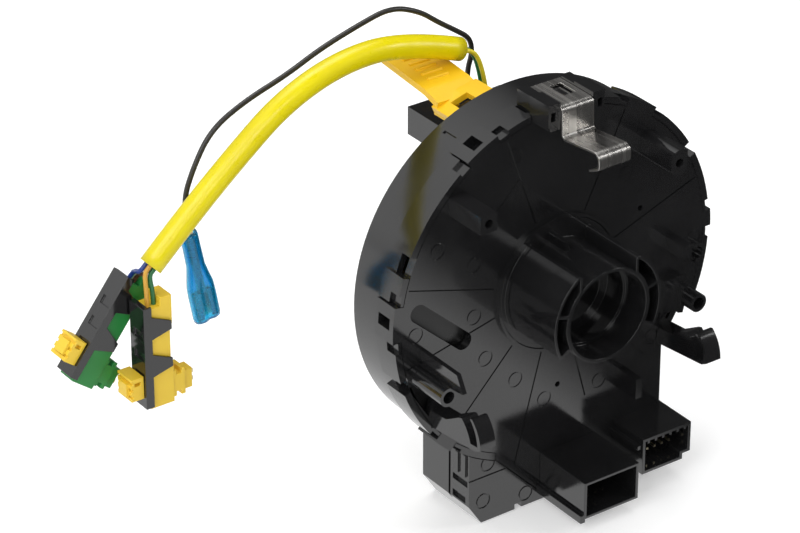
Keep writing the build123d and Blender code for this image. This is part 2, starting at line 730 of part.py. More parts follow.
# Rotor disc: rear disc, cable hub, ribs, drive bosses and the wire tower
hub_front = plate_thickness + 0.5
slot_middle = -12.5
slot_low = tower_radius - 8.2
rib_height = 1.2
rib_reach = disc_radius - 3.6
drive_boss = 30.0
with BuildPart() as rotor_disc:
    with BuildSketch(facing(disc_front)):
        Circle(disc_radius)
    extrude(amount=-disc_thickness)
    with BuildSketch(facing(hub_front)):
        Circle(hub_radius)
        Circle(hub_radius - hub_wall, mode=Mode.SUBTRACT)
    extrude(amount=-(disc_front - hub_front))
    with BuildSketch(facing(disc_front)):
        Circle(hub_radius)
        Circle(tube_radius + 0.05, mode=Mode.SUBTRACT)
    extrude(amount=2.6)
    # ribs on the rear face
    with BuildSketch(facing(disc_rear)):
        Circle(rib_reach)
        Circle(rib_reach - 1.4, mode=Mode.SUBTRACT)
        with PolarLocations((rib_reach + hub_radius) / 2, 12, start_angle=15):
            Rectangle(rib_reach - hub_radius - 1, 1.2)
    extrude(amount=-rib_height)
    with BuildSketch(facing(disc_rear)):
        with Locations((-drive_boss, -14), (drive_boss, -14)):
            Circle(4.2)
            Circle(2.4, mode=Mode.SUBTRACT)
        Circle(hub_radius + 1.5)
        Circle(tube_radius + 1, mode=Mode.SUBTRACT)
    extrude(amount=-5.0)
    # tower and wire exit
    with BuildSketch(facing(disc_rear)):
        band(tower_left, -1, tower_low, wall_radius)
        Circle(tower_radius, mode=Mode.INTERSECT)
    extrude(amount=-tower_depth)
    with BuildSketch(facing(disc_rear)):
        band(-1.5, tower_right, tower_low - 2, exit_level)
    extrude(amount=-exit_depth)
    with BuildSketch(facing(disc_rear + 9)):
        band(tower_left + 2, 0, tower_low, tower_low + 8)
    extrude(amount=-exit_depth + 9)
    with BuildSketch(facing(disc_rear)):
        band(tower_left, tower_right, tower_low - 2, tower_low + 8)
    extrude(amount=-9.5)
    with BuildSketch(facing(disc_front + disc_thickness)):
        with Locations((slot_middle, slot_low + tongue_slot[1] / 2)):
            Rectangle(tongue_slot[0] + 2 * slot_clearance, tongue_slot[1] + 2 * slot_clearance)
    extrude(amount=-exit_depth, mode=Mode.SUBTRACT)
    with BuildSketch(facing(disc_front - 4)):
        Circle(tube_radius + 0.05)
    extrude(amount=-20, mode=Mode.SUBTRACT)
rotor_disc.part.label = "rotor_disc"
export_step(rotor_disc.part, "parts/rotor_disc.step")


# Lock tab: two wings behind the rim, a ramped handle with grip grooves, and a tongue
wing_front = drum_depth + tab_clearance
wing_rear = wing_front + 5.7
wing_inner = tower_radius + tab_clearance
left_wing = (109.6, 114.0)
right_wing = (97.0, 103.4)
handle_left = -19.6
handle_right = -5.6
handle_rear = 49.5
rib_length = 6.4
rib_pitch = 2.7
with BuildPart() as lock_tab:
    for front, rear, low, high in ((wing_front, wing_rear, *left_wing), (wing_front, wing_rear, *right_wing),
                                   (wing_rear - 1.4, wing_rear + 2, right_wing[0], left_wing[1])):
        with BuildSketch(facing(front)):
            Circle(wing_inner + tab_thickness)
            Circle(wing_inner, mode=Mode.SUBTRACT)
            sector(wing_inner + 8, low, high, mode=Mode.INTERSECT)
        extrude(amount=-(rear - front))
    with BuildSketch(Plane.YZ.offset(handle_left)):
        with BuildLine():
            FilletPolyline((wing_rear, wing_inner - 1.6), (wing_rear + 5.5, wing_inner), (handle_rear, wing_inner + 1.7),
                           radius=6)
        trace(line_width=tab_thickness)
    extrude(amount=handle_right - handle_left)
    # the handle stays clear above the drum's rear edge
    with BuildSketch(facing(wing_rear - 2.2)):
        Circle(wing_inner)
    extrude(amount=-7.0, mode=Mode.SUBTRACT)
    # post and tongue under the handle
    with BuildSketch(facing(wing_rear + 3.7)):
        band(slot_middle - tongue_slot[0] / 2, slot_middle + tongue_slot[0] / 2, slot_low, wing_inner)
    extrude(amount=-4.0)
    with BuildSketch(facing(wing_front)):
        with Locations((slot_middle, slot_low + tongue_slot[1] / 2)):
            Rectangle(*tongue_slot)
    extrude(amount=-12.0)
    # rounded grip ribs across the handle
    for i in range(6):
        depth = handle_rear - 1.8 - rib_pitch * i
        level = wing_inner + 1.7 - (handle_rear - depth) * 1.7 / (handle_rear - wing_rear - 5.5) + tab_thickness / 2
        with Locations((handle_left + 3.4 + rib_length / 2, depth, level)):
            Cylinder(0.55, rib_length, rotation=(0, 90, 0))
lock_tab.part.label = "lock_tab"
export_step(lock_tab.part, "parts/lock_tab.step")


# Harness: each route is runs joined by arcs as large as the runs allow
def route_radii(points):
    """Corner radii, from 0.45 of the shorter run at each corner."""
    radii = []
    for before, here, after in zip(points, points[1:], points[2:]):
        run_in = Vector(*here) - Vector(*before)
        run_out = Vector(*after) - Vector(*here)
        half = radians(run_in.get_angle(run_out)) / 2
        radii.append(0.45 * min(run_in.length, run_out.length) / tan(half))
    return radii


def tube_along(points, diameter, name):
    radii = route_radii(points)
    with BuildPart() as tube:
        with BuildLine():
            path = FilletPolyline(*points, radius=radii)
        with BuildSketch(Plane(origin=path @ 0, z_dir=path % 0)):
            Circle(diameter / 2)
        sweep(path=path)
    section = pi * diameter ** 2 / 4
    print(name, "length", round(path.length, 1), "radii", [round(r, 1) for r in radii],
          "volume over section times length", round(tube.part.volume / (section * path.length), 4))
    return tube.part


sleeve_y = 38.0
sleeve_route = [(-3.2, sleeve_y, 52.2), (-21, sleeve_y, 59), (-40, sleeve_y, 59.3), (-58, sleeve_y, 53),
                (-73, sleeve_y, 41.5), (-86.2, sleeve_y, 30.5), (-98.4, sleeve_y, 19.3)]
with BuildPart() as harness_sleeve:
    add(tube_along(sleeve_route, sleeve_diameter, "harness_sleeve"))
harness_sleeve.part.label = "harness_sleeve"
export_step(harness_sleeve.part, "parts/harness_sleeve.step")

horn_y = 43.5
horn_route = [(3.6, horn_y, exit_level), (3.2, horn_y, 41.6), (5.0, horn_y, 46.6), (4.2, horn_y, 51.2),
              (-0.4, horn_y, 54.6), (-6.2, horn_y, 58.6), (-12, horn_y, 63.2), (-21, horn_y, 66.8),
              (-31, horn_y, 64.6), (-43, horn_y, 61.2), (-53, horn_y, 57), (-66, horn_y, 53.2), (-76, horn_y, 48.2), (-81.5, horn_y, 39.5),
              (-85.15, horn_y, 29.95), (-83.6, horn_y, 21.6)]
with BuildPart() as horn_wire:
    add(tube_along(horn_route, horn_diameter, "horn_wire"))
horn_wire.part.label = "horn_wire"
export_step(horn_wire.part, "parts/horn_wire.step")

feed_routes = {
    "feed_wire_yellow": [(5.2, 37.1, exit_level), (4.2, 37.1, 42.6), (1.5, 37.1, 50.4), (-3.2, 37.1, 52.2)],
    "feed_wire_green": [(5.2, 38.9, exit_level), (4.2, 38.9, 42.6), (1.5, 38.9, 50.4), (-3.2, 38.9, 52.2)],
}
with BuildPart() as feed_wire_yellow:
    add(tube_along(feed_routes["feed_wire_yellow"], wire_diameter, "feed_wire_yellow"))
feed_wire_yellow.part.label = "feed_wire_yellow"
export_step(feed_wire_yellow.part, "parts/feed_wire_yellow.step")

with BuildPart() as feed_wire_green:
    add(tube_along(feed_routes["feed_wire_green"], wire_diameter, "feed_wire_green"))
feed_wire_green.part.label = "feed_wire_green"
export_step(feed_wire_green.part, "parts/feed_wire_green.step")


# Plugs: each is built on its own plane, u towards the nose and v up along the plug
plug_length = 29.0
plug_width = 8.8
plug_depth = 6.0
cover_thickness = 1.6
body_drop = 1.0
nose_reach = 6.0
nose_height = 7.6
nose_rise = 0.2
nose_round = 1.6
lock_width = 3.8
lock_height = 6.4
lock_rise = 3.0
lock_travel = 3.0
plug_gap = 0.1
yellow_plug_origin = (-103.2, 35.0, 9.9)
green_plug_origin = (-102.8, 42.3, 15.8)
green_plug_tilt = 38.0


def plug_plane(origin, tilt, depth=0.0):
    return Plane(origin=(origin[0], origin[1] + depth, origin[2]),
                 x_dir=(cos(radians(tilt)), 0, -sin(radians(tilt))), z_dir=(0, -1, 0))


def plug_point(origin, tilt, u, v, depth):
    return (origin[0] + u * cos(radians(tilt)) + v * sin(radians(tilt)), origin[1] + depth,
            origin[2] - u * sin(radians(tilt)) + v * cos(radians(tilt)))


def plug_cover(origin, tilt):
    """Black cover: a tray along the plug's side, with wedge clips over the front."""
    with BuildPart() as cover:
        with BuildSketch(plug_plane(origin, tilt)):
            band(0, cover_thickness, -plug_length, 0)
        extrude(amount=-plug_depth)
        with BuildSketch(plug_plane(origin, tilt)):
            band(0, cover_thickness + 0.8, -plug_length, 0)
            for top in (-2.4, -13.2):
                Polygon((1, top), (plug_width - 0.6, top - 3.2), (plug_width - 0.6, top - 5.6), (1, top - 7.4),
                        align=None)
        extrude(amount=0.7)
        with BuildSketch(plug_plane(origin, tilt)):
            for level in (-7, -13, -19):
                band(-0.5, 0.5, level - 2.2, level)
        extrude(amount=-plug_depth + 1.8, mode=Mode.SUBTRACT)
    return cover.part


def plug_body(origin, tilt):
    """Coloured body with its nose at the lower end and a hood beside the wires."""
    inner = cover_thickness + plug_gap
    with BuildPart() as body:
        with BuildSketch(plug_plane(origin, tilt, 0.1)):
            band(inner, plug_width, -plug_length - 0.8, -body_drop)
            band(plug_width - 3.4, plug_width, -body_drop - 1, 1.4)
        extrude(amount=-(plug_depth - 0.2))
        with BuildSketch(plug_plane(origin, tilt, 0.5)):
            band(plug_width - 1, plug_width + nose_reach - 2.4, -plug_length + nose_rise,
                 -plug_length + nose_rise + nose_height)
        extrude(amount=-(plug_depth - 1.0))
        with BuildSketch(plug_plane(origin, tilt, 1.1)):
            band(plug_width, plug_width + nose_reach, -plug_length + nose_rise + 0.8,
                 -plug_length + nose_rise + nose_height - 1.2)
        extrude(amount=-(plug_depth - 2.2))
        # groove round the nose, behind its rounded head
        with BuildSketch(plug_plane(origin, tilt, 0)):
            for low in (-plug_length + nose_rise - 0.5, -plug_length + nose_rise + nose_height - 1.3):
                band(plug_width + 1.0, plug_width + 2.4, low, low + 1.8)
        extrude(amount=-plug_depth, mode=Mode.SUBTRACT)
        with BuildSketch(plug_plane(origin, tilt, 0.1)):
            band(plug_width - 0.7, plug_width + 1, -19, -7)
        extrude(amount=-(plug_depth - 3), mode=Mode.SUBTRACT)
    return body.part


def plug_contacts(origin, tilt):
    """Two contact springs just proud of the nose."""
    with BuildPart() as contacts:
        with BuildSketch(plug_plane(origin, tilt, 1.6)):
            band(plug_width + nose_reach, plug_width + nose_reach + 0.6, -plug_length + nose_rise + 2.4,
                 -plug_length + nose_rise + 3.4)
            band(plug_width + nose_reach, plug_width + nose_reach + 0.6, -plug_length + nose_rise + 4.6,
                 -plug_length + nose_rise + 5.6)
        extrude(amount=-(plug_depth - 3.4))
    return contacts.part


def plug_lock(origin, tilt):
    """Yellow lock block on the cover's outer side."""
    with BuildPart() as block:
        with BuildSketch(plug_plane(origin, tilt, 0.2)):
            band(-lock_width, -plug_gap, -plug_length + lock_rise, -plug_length + lock_rise + lock_height)
        extrude(amount=-(plug_depth + 0.6))
        # three notches across its outer side
        with BuildSketch(plug_plane(origin, tilt, -0.5)):
            for low in (1.0, 3.0, 5.0):
                band(-lock_width - 1, -lock_width + 0.5, -plug_length + lock_rise + low,
                     -plug_length + lock_rise + low + 0.7)
        extrude(amount=-(plug_depth + 1.6), mode=Mode.SUBTRACT)
        with BuildSketch(plug_plane(origin, tilt, 0.2)):
            band(-lock_width + 1, -1, -plug_length + lock_rise + 4.2, -plug_length + lock_rise + 5.2)
        extrude(amount=-1.2, mode=Mode.SUBTRACT)
        with BuildSketch(plug_plane(origin, tilt, 1.4)):
            band(-lock_width - 0.8, -lock_width + 0.2, -plug_length + lock_rise + 1.2,
                 -plug_length + lock_rise + lock_height - 1.4)
        extrude(amount=-(plug_depth - 2.2))
    return block.part


with BuildPart() as yellow_plug_cover:
    add(plug_cover(yellow_plug_origin, 0))
yellow_plug_cover.part.label = "yellow_plug_cover"
export_step(yellow_plug_cover.part, "parts/yellow_plug_cover.step")

with BuildPart() as yellow_plug_body:
    add(plug_body(yellow_plug_origin, 0))
yellow_plug_body.part.label = "yellow_plug_body"
export_step(yellow_plug_body.part, "parts/yellow_plug_body.step")

with BuildPart() as yellow_plug_contacts:
    add(plug_contacts(yellow_plug_origin, 0))
yellow_plug_contacts.part.label = "yellow_plug_contacts"
export_step(yellow_plug_contacts.part, "parts/yellow_plug_contacts.step")

with BuildPart() as yellow_plug_lock:
    add(plug_lock(yellow_plug_origin, 0))
yellow_plug_lock.part.label = "yellow_plug_lock"
export_step(yellow_plug_lock.part, "parts/yellow_plug_lock.step")

with BuildPart() as green_plug_cover:
    add(plug_cover(green_plug_origin, green_plug_tilt))
green_plug_cover.part.label = "green_plug_cover"
export_step(green_plug_cover.part, "parts/green_plug_cover.step")

with BuildPart() as green_plug_body:
    add(plug_body(green_plug_origin, green_plug_tilt))
green_plug_body.part.label = "green_plug_body"
export_step(green_plug_body.part, "parts/green_plug_body.step")

with BuildPart() as green_plug_contacts:
    add(plug_contacts(green_plug_origin, green_plug_tilt))
green_plug_contacts.part.label = "green_plug_contacts"
export_step(green_plug_contacts.part, "parts/green_plug_contacts.step")

with BuildPart() as green_plug_lock:
    add(plug_lock(green_plug_origin, green_plug_tilt))
green_plug_lock.part.label = "green_plug_lock"
export_step(green_plug_lock.part, "parts/green_plug_lock.step")


# Short wires between the sleeve's end and the plugs. Each leaves square to the sleeve's end face.
sleeve_end = Vector(*sleeve_route[-1])
sleeve_way = (sleeve_end - Vector(*sleeve_route[-2])).normalized()
sleeve_side = Vector(-sleeve_way.Z, 0, sleeve_way.X) * -1
wire_offset = 0.85


def leaving(side, back, reach):
    """A point this far out of the sleeve, beside its centre line."""
    spot = sleeve_end + sleeve_way * reach + sleeve_side * (side * wire_offset) + Vector(0, back * wire_offset, 0)
    return tuple(spot)


def above(end, tilt, rise):
    return (end[0] + rise * sin(radians(tilt)), end[1], end[2] + rise * cos(radians(tilt)))


blue_end = plug_point(green_plug_origin, green_plug_tilt, 2.9, -body_drop, 2.3)
brown_end = plug_point(green_plug_origin, green_plug_tilt, 4.7, -body_drop, 2.3)
amber_end = plug_point(yellow_plug_origin, 0, 2.9, -body_drop, 2.15)
green_end = plug_point(yellow_plug_origin, 0, 4.7, -body_drop, 2.15)
wire_routes = {
    "blue_wire": [leaving(1, 1, 0), leaving(1, 1, 2.9), above(blue_end, green_plug_tilt, 2.9), blue_end],
    "brown_wire": [leaving(-1, 1, 0), leaving(-1, 1, 2.9), above(brown_end, green_plug_tilt, 2.9), brown_end],
    "amber_wire": [leaving(1, -1, 0), leaving(1, -1, 2.4), above(amber_end, 0, 3.8), amber_end],
    "green_wire": [leaving(-1, -1, 0), leaving(-1, -1, 2.2), above(green_end, 0, 3.6), green_end],
}
with BuildPart() as blue_wire:
    add(tube_along(wire_routes["blue_wire"], wire_diameter, "blue_wire"))
blue_wire.part.label = "blue_wire"
export_step(blue_wire.part, "parts/blue_wire.step")

with BuildPart() as brown_wire:
    add(tube_along(wire_routes["brown_wire"], wire_diameter, "brown_wire"))
brown_wire.part.label = "brown_wire"
export_step(brown_wire.part, "parts/brown_wire.step")

with BuildPart() as amber_wire:
    add(tube_along(wire_routes["amber_wire"], wire_diameter, "amber_wire"))
amber_wire.part.label = "amber_wire"
export_step(amber_wire.part, "parts/amber_wire.step")

with BuildPart() as green_wire:
    add(tube_along(wire_routes["green_wire"], wire_diameter, "green_wire"))
green_wire.part.label = "green_wire"
export_step(green_wire.part, "parts/green_wire.step")


# Horn terminal: a receptacle for a 6.3 mm blade in a soft insulator
terminal_top = horn_route[-1]
terminal_tilt = degrees(atan2(terminal_top[0] - horn_route[-2][0], horn_route[-2][2] - terminal_top[2]))
terminal_length = 26.5
blade_width = 4.8
cover_wall = 0.6


def terminal_plane(drop):
    up = (-sin(radians(terminal_tilt)), 0, cos(radians(terminal_tilt)))
    origin = tuple(top - drop * part for top, part in zip(terminal_top, up))
    return Plane(origin=origin, x_dir=(cos(radians(terminal_tilt)), 0, sin(radians(terminal_tilt))), z_dir=up)


def insulator_form(shrink=0.0):
    """The insulator's outer form, or its hollow when shrunk by the wall."""
    stations = [(0.0, 4.6, 4.6), (11.0, 5.0, 4.8), (17.0, 7.6, 4.6), (terminal_length, 7.6, 4.4)]
    with BuildPart() as form:
        for drop, width, depth in stations:
            with BuildSketch(terminal_plane(drop)):
                RectangleRounded(width - 2 * shrink, depth - 2 * shrink, (depth / 2 - shrink) * 0.94)
        loft(ruled=True)
    return form.part


with BuildPart() as horn_terminal_cover:
    add(insulator_form())
    add(insulator_form(cover_wall), mode=Mode.SUBTRACT)
horn_terminal_cover.part.label = "horn_terminal_cover"
export_step(horn_terminal_cover.part, "parts/horn_terminal_cover.step")

with BuildPart() as horn_terminal:
    with BuildSketch(terminal_plane(0)):
        Circle(horn_diameter / 2 + 0.55)
    extrude(amount=-9.0)
    with BuildSketch(terminal_plane(8.5)):
        Rectangle(1.8, 1.2)
    extrude(amount=-10)
    with BuildSketch(terminal_plane(18.0)):
        Rectangle(blade_width + 0.8, 2.0)
        Rectangle(blade_width, 1.2, mode=Mode.SUBTRACT)
        with Locations((0, -1.1)):
            Rectangle(2.4, 1.6, mode=Mode.SUBTRACT)
    extrude(amount=-8.0)
horn_terminal.part.label = "horn_terminal"
export_step(horn_terminal.part, "parts/horn_terminal.step")
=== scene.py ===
import bpy
import bmesh
import json
import math
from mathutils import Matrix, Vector


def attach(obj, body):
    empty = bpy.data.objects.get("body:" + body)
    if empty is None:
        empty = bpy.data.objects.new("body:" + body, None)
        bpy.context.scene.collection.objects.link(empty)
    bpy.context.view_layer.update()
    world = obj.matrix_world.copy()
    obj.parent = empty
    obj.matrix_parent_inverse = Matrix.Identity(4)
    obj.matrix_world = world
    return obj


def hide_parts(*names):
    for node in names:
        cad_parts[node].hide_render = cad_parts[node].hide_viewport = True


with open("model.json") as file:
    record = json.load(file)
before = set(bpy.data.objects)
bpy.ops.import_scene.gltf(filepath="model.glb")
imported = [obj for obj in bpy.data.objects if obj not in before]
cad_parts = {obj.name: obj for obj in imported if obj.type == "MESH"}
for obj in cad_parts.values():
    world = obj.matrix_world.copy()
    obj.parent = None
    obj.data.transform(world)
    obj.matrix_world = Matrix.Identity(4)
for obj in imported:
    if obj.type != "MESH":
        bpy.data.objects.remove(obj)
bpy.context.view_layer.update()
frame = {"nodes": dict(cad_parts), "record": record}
nodes = frame["nodes"]
mm = 0.001
print("frame loaded,", len(nodes), "pieces")

# camera at the photograph's angle
camera = {
    "place": (-0.51015, -0.64183, 0.46220),
    "looking": (0.509, 0.709, -0.488),
    "lens": 164.5,
    "sensor": 36.0,
    "near": 0.01,
    "far": 20,
}
cameraData = bpy.data.cameras.new("camera")
cameraData.lens = camera["lens"]
cameraData.sensor_width = camera["sensor"]
cameraData.clip_start = camera["near"]
cameraData.clip_end = camera["far"]
cameraObject = bpy.data.objects.new("camera", cameraData)
cameraObject.location = camera["place"]
cameraObject.rotation_euler = Vector(camera["looking"]).to_track_quat("-Z", "Y").to_euler()
bpy.context.scene.collection.objects.link(cameraObject)
bpy.context.scene.camera = cameraObject
bpy.context.scene.view_settings.view_transform = "Standard"
print("camera set")


# a node tree with the shader and output in place
def newMaterial(name):
    material = bpy.data.materials.new(name)
    material.use_nodes = True
    tree = material.node_tree
    shader = tree.nodes["Principled BSDF"]
    return material, tree, shader


def noise(tree, scale, detail=3.0, stretch=None):
    coords = tree.nodes.new("ShaderNodeTexCoord")
    texture = tree.nodes.new("ShaderNodeTexNoise")
    texture.inputs["Scale"].default_value = scale
    texture.inputs["Detail"].default_value = detail
    if stretch:
        mapping = tree.nodes.new("ShaderNodeMapping")
        mapping.inputs["Scale"].default_value = stretch
        tree.links.new(coords.outputs["Object"], mapping.inputs["Vector"])
        tree.links.new(mapping.outputs["Vector"], texture.inputs["Vector"])
    else:
        tree.links.new(coords.outputs["Object"], texture.inputs["Vector"])
    return texture


def ramp(tree, source, low, high, lowAt=0.3, highAt=0.7):
    mapRange = tree.nodes.new("ShaderNodeMapRange")
    mapRange.inputs["From Min"].default_value = lowAt
    mapRange.inputs["From Max"].default_value = highAt
    mapRange.inputs["To Min"].default_value = low
    mapRange.inputs["To Max"].default_value = high
    tree.links.new(source, mapRange.inputs["Value"])
    return mapRange.outputs["Result"]


def colourBetween(tree, source, first, second):
    mix = tree.nodes.new("ShaderNodeMix")
    mix.data_type = "RGBA"
    mix.inputs["A"].default_value = (*first, 1)
    mix.inputs["B"].default_value = (*second, 1)
    tree.links.new(source, mix.inputs["Factor"])
    return mix.outputs["Result"]


# moulded plastic: fine grain, faint flow marks and slow waves left by shrinkage
def moulded(name, look):
    material, tree, shader = newMaterial(name)
    flow = noise(tree, look["flowScale"], 4.0)
    grain = noise(tree, look["grainScale"], 2.0)
    waves = noise(tree, look["waveScale"], 1.0)
    colour = colourBetween(tree, ramp(tree, flow.outputs["Fac"], 0, 1), look["colour"], look["shade"])
    tree.links.new(colour, shader.inputs["Base Color"])
    smoothest = look["rough"] - look["roughSpread"]
    roughest = look["rough"] + look["roughSpread"]
    tree.links.new(ramp(tree, flow.outputs["Fac"], smoothest, roughest), shader.inputs["Roughness"])
    shader.inputs["Specular IOR Level"].default_value = look["specular"]
    shader.inputs["Coat Weight"].default_value = look["coat"]
    shader.inputs["Coat Roughness"].default_value = look["coatRough"]
    coarse = tree.nodes.new("ShaderNodeBump")
    coarse.inputs["Strength"].default_value = look["waveStrength"]
    coarse.inputs["Distance"].default_value = look["waveDepth"]
    tree.links.new(waves.outputs["Fac"], coarse.inputs["Height"])
    fine = tree.nodes.new("ShaderNodeBump")
    fine.inputs["Strength"].default_value = look["grainStrength"]
    fine.inputs["Distance"].default_value = look["grainDepth"]
    tree.links.new(grain.outputs["Fac"], fine.inputs["Height"])
    tree.links.new(coarse.outputs["Normal"], fine.inputs["Normal"])
    tree.links.new(fine.outputs["Normal"], shader.inputs["Normal"])
    return material


def mouldedLook(colour, shade, **changes):
    look = {
        "colour": colour, "shade": shade,
        "flowScale": 60.0, "grainScale": 3500.0, "waveScale": 45.0,
        "rough": 0.36, "roughSpread": 0.05, "specular": 0.5, "coat": 0.0, "coatRough": 0.1,
        "waveStrength": 0.25, "waveDepth": 0.0004, "grainStrength": 0.25, "grainDepth": 0.00003,
    }
    look.update(changes)
    return look


# soft insulation and sleeving: satin, with faint creases
def softPlastic(name, look):
    material, tree, shader = newMaterial(name)
    blotches = noise(tree, look["blotchScale"], 3.0)
    creases = noise(tree, look["creaseScale"], 2.0)
    colour = colourBetween(tree, ramp(tree, blotches.outputs["Fac"], 0, 1), look["colour"], look["shade"])
    tree.links.new(colour, shader.inputs["Base Color"])
    smoothest = look["rough"] - look["smoother"]
    roughest = look["rough"] + look["rougher"]
    tree.links.new(ramp(tree, creases.outputs["Fac"], smoothest, roughest), shader.inputs["Roughness"])
    shader.inputs["Subsurface Weight"].default_value = look["glow"]
    shader.inputs["Subsurface Radius"].default_value = look["glowReach"]
    shader.inputs["Subsurface Scale"].default_value = look["glowScale"]
    bump = tree.nodes.new("ShaderNodeBump")
    bump.inputs["Strength"].default_value = look["creaseStrength"]
    bump.inputs["Distance"].default_value = look["creaseDepth"]
    tree.links.new(creases.outputs["Fac"], bump.inputs["Height"])
    tree.links.new(bump.outputs["Normal"], shader.inputs["Normal"])
    return material


def softLook(colour, shade, **changes):
    look = {
        "colour": colour, "shade": shade,
        "blotchScale": 70.0, "creaseScale": 260.0,
        "rough": 0.36, "smoother": 0.05, "rougher": 0.08,
        "glow": 0.0, "glowReach": (0.003, 0.002, 0.0005), "glowScale": 0.3,
        "creaseStrength": 0.22, "creaseDepth": 0.0004,
    }
    look.update(changes)
    return look


# metal: fine lines drawn along one direction
def metal(name, look):
    material, tree, shader = newMaterial(name)
    shader.inputs["Metallic"].default_value = 1.0
    lines = noise(tree, look["lineScale"], 4.0, look["stretch"])
    tarnish = noise(tree, look["tarnishScale"], 3.0)
    colour = colourBetween(tree, ramp(tree, tarnish.outputs["Fac"], 0, 1), look["colour"], look["shade"])
    tree.links.new(colour, shader.inputs["Base Color"])
    smoothest = look["rough"] - look["smoother"]
    roughest = look["rough"] + look["rougher"]
    tree.links.new(ramp(tree, lines.outputs["Fac"], smoothest, roughest), shader.inputs["Roughness"])
    bump = tree.nodes.new("ShaderNodeBump")
    bump.inputs["Strength"].default_value = look["lineStrength"]
    bump.inputs["Distance"].default_value = look["lineDepth"]
    tree.links.new(lines.outputs["Fac"], bump.inputs["Height"])
    tree.links.new(bump.outputs["Normal"], shader.inputs["Normal"])
    return material


def metalLook(colour, shade, **changes):
    look = {
        "colour": colour, "shade": shade,
        "tarnishScale": 120.0, "lineScale": 600.0, "stretch": (1.0, 0.05, 0.05),
        "rough": 0.26, "smoother": 0.06, "rougher": 0.1,
        "lineStrength": 0.35, "lineDepth": 0.00002,
    }
    look.update(changes)
    return look


# clear dyed plastic of the horn lead's insulator
def tinted(name, look):
    material, tree, shader = newMaterial(name)
    clouds = noise(tree, look["cloudScale"], 3.0)
    colour = colourBetween(tree, ramp(tree, clouds.outputs["Fac"], 0, 1), look["colour"], look["shade"])
    tree.links.new(colour, shader.inputs["Base Color"])
    roughest = look["rough"] + look["rougher"]
    tree.links.new(ramp(tree, clouds.outputs["Fac"], look["rough"], roughest), shader.inputs["Roughness"])
    shader.inputs["Transmission Weight"].default_value = look["clear"]
    shader.inputs["IOR"].default_value = look["bending"]
    bump = tree.nodes.new("ShaderNodeBump")
    bump.inputs["Strength"].default_value = look["rippleStrength"]
    bump.inputs["Distance"].default_value = look["rippleDepth"]
    tree.links.new(clouds.outputs["Fac"], bump.inputs["Height"])
    tree.links.new(bump.outputs["Normal"], shader.inputs["Normal"])
    return material


finishes = {
    "black_plastic": moulded("blackNylon", mouldedLook(
        (0.008, 0.008, 0.0085), (0.012, 0.012, 0.0125), rough=0.11, roughSpread=0.03, specular=0.8,
        waveStrength=0.2, waveDepth=0.00025, grainStrength=0.2)),
    "film": moulded("slipFilm", mouldedLook((0.008, 0.008, 0.008), (0.012, 0.012, 0.012), rough=0.3)),
    "yellow_plastic": moulded("tabYellow", mouldedLook((0.9, 0.56, 0.01), (0.84, 0.49, 0.008), rough=0.38)),
    "plug_yellow": moulded("plugYellow", mouldedLook((0.88, 0.62, 0.045), (0.82, 0.54, 0.035), rough=0.36)),
    "plug_green": moulded("plugGreen", mouldedLook((0.02, 0.26, 0.05), (0.015, 0.2, 0.04), rough=0.4)),
    "sleeve_yellow": softPlastic("sleeveYellow", softLook((0.78, 0.67, 0.0), (0.72, 0.6, 0.0), rough=0.3)),
    "wire_yellow": softPlastic("wireYellow", softLook((0.85, 0.7, 0.03), (0.75, 0.6, 0.03))),
    "wire_green": softPlastic("wireGreen", softLook((0.03, 0.2, 0.06), (0.02, 0.14, 0.05))),
    "wire_brown": softPlastic("wireBrown", softLook((0.12, 0.05, 0.025), (0.08, 0.035, 0.02))),
    "wire_blue": softPlastic("wireBlue", softLook((0.02, 0.06, 0.3), (0.015, 0.04, 0.22))),
    "wire_amber": softPlastic("wireAmber", softLook((0.7, 0.4, 0.05), (0.6, 0.32, 0.04))),
    "wire_dark": softPlastic("wireDark", softLook((0.028, 0.026, 0.022), (0.02, 0.018, 0.016))),
    "stainless": metal("stainless", metalLook((0.74, 0.72, 0.69), (0.62, 0.6, 0.57))),
    "contact_metal": metal("platedContact", metalLook(
        (0.78, 0.7, 0.5), (0.7, 0.62, 0.44), rough=0.28, lineScale=900.0, stretch=(1.0, 0.1, 1.0),
        lineStrength=0.2)),
    "ribbon": softPlastic("flatCable", softLook((0.45, 0.28, 0.1), (0.36, 0.22, 0.08))),
    "blue_cover": tinted("insulatorBlue", {
        "colour": (0.02, 0.58, 0.92), "shade": (0.01, 0.48, 0.86), "cloudScale": 90.0,
        "rough": 0.1, "rougher": 0.08, "clear": 0.85, "bending": 1.5,
        "rippleStrength": 0.2, "rippleDepth": 0.0003,
    }),
}
print("finishes made:", len(finishes))


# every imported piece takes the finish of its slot
for entry in frame["record"]["subparts"]:
    node = nodes[entry["node"]]
    node.data.materials.clear()
    node.data.materials.append(finishes[entry["material_slot"]])

# width of the broken edge of each moulded or pressed piece, in mm
edges = {
    "face_plate": 0.2, "drum_case": 0.2, "terminal_cover": 0.25, "left_socket": 0.2, "right_socket": 0.1,
    "hub_sleeve": 0.2, "rotor_disc": 0.25, "lock_tab": 0.25, "spring_clip": 0.08,
    "green_plug_body": 0.15, "green_plug_cover": 0.12, "green_plug_lock": 0.15,
    "yellow_plug_body": 0.15, "yellow_plug_cover": 0.12, "yellow_plug_lock": 0.15,
}

edgeStyle = {
    "weldWithin": 0.002,  # mm
    "flatWithin": 0.4,  # degrees
    "sharpFrom": 32,  # degrees
    "steps": 2,
    "shadingWeight": 80,
}


